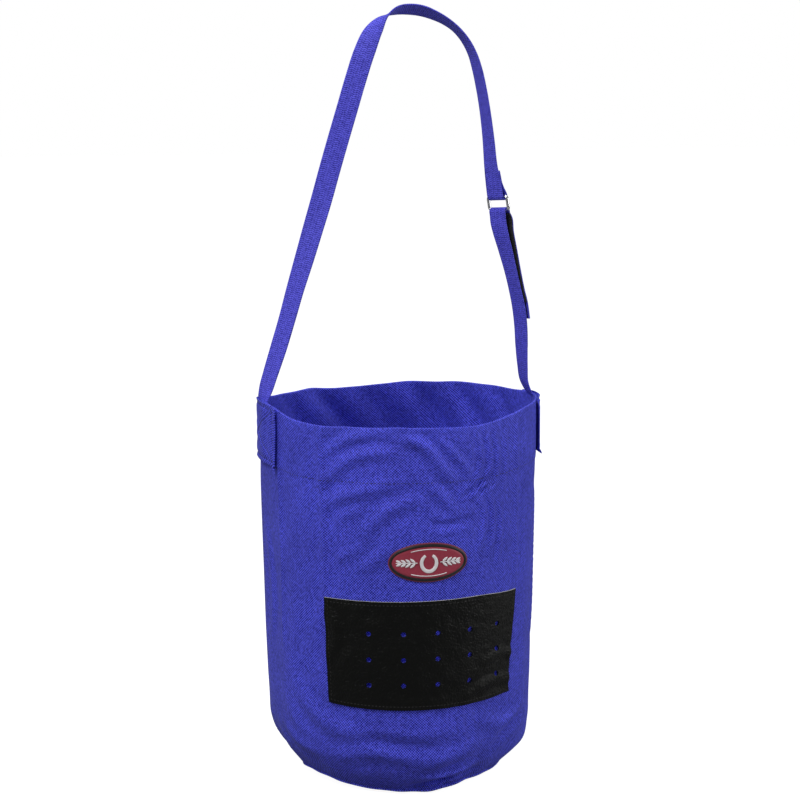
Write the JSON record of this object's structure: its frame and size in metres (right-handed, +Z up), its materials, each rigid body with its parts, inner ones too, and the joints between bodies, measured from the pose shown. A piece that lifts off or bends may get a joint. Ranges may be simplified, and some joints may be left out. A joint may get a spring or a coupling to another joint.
{
  "type": "horse feed bag",
  "caption": "Soft nylon horse feed bag with a round base, a perforated leather front and a webbing head strap closed by a wire ring and a hook-and-loop tail.",
  "frame": {"origin": "hang point: underside of the strap webbing at the top of the hoop", "axes": "+Z up along the hanging bag, -Y the leather front of the bag, +X towards the ring side"},
  "size_m": [0.2712, 0.2528, 0.7333],
  "materials": {
    "bag_cloth": "coarse royal-blue nylon weave",
    "webbing": "ribbed royal-blue nylon webbing",
    "leather": "black pebbled leather, semi-gloss",
    "badge_edge": "soft moulded label, dull red edge",
    "badge_dark": "soft moulded label, black band",
    "badge_field": "soft moulded label, red field",
    "badge_motif": "soft moulded label, off-white raised marks",
    "ring_wire": "bright nickel-plated wire",
    "hook_tape": "black hook tape",
    "loop_tape": "black loop tape",
    "blue_thread": "blue sewing thread",
    "black_thread": "black sewing thread"
  },
  "bodies": {
    "strap": {"upper_strap": "webbing", "ring_fold_stitching": "blue_thread", "lower_strap": "webbing", "loop_tape": "loop_tape", "loop_tape_stitching": "black_thread"},
    "bag": {"front_panel": "bag_cloth", "back_panel": "bag_cloth", "hem_facing": "bag_cloth", "base_panel": "bag_cloth", "base_binding": "bag_cloth", "muzzle_panel": "leather", "badge_backing": "badge_edge", "badge_band": "badge_dark", "badge_field": "badge_field", "badge_motif": "badge_motif", "hem_stitching": "blue_thread", "base_seam_stitching": "blue_thread", "side_seam_stitching": "blue_thread", "muzzle_panel_stitching": "black_thread", "badge_stitching": "black_thread", "left_strap_end": "webbing", "right_strap_end": "webbing", "left_strap_patch": "bag_cloth", "right_strap_patch": "bag_cloth", "left_patch_stitching": "blue_thread", "right_patch_stitching": "blue_thread"},
    "ring": {"ring": "ring_wire"},
    "tail": {"strap_tail": "webbing", "hook_tape": "hook_tape", "hook_tape_stitching": "black_thread"}
  },
  "joints": [
    {"name": "bag_swing", "type": "hinge", "parent": "strap", "child": "bag", "pos_m": [0, 0, -0.35], "axis": [1, 0, 0], "range_deg": [-90, 90]},
    {"name": "ring_rock", "type": "hinge", "parent": "strap", "child": "ring", "pos_m": [0.09621, 0.00157, -0.17362], "axis": [0.5333, -0.8417, 0.0845], "range_deg": [-6, 6]},
    {"name": "tail_peel", "type": "hinge", "parent": "strap", "child": "tail", "pos_m": [0.10314, 0.00427, -0.19044], "axis": [0.5333, -0.8417, 0.0845], "range_deg": [0, 105]}
  ]
}
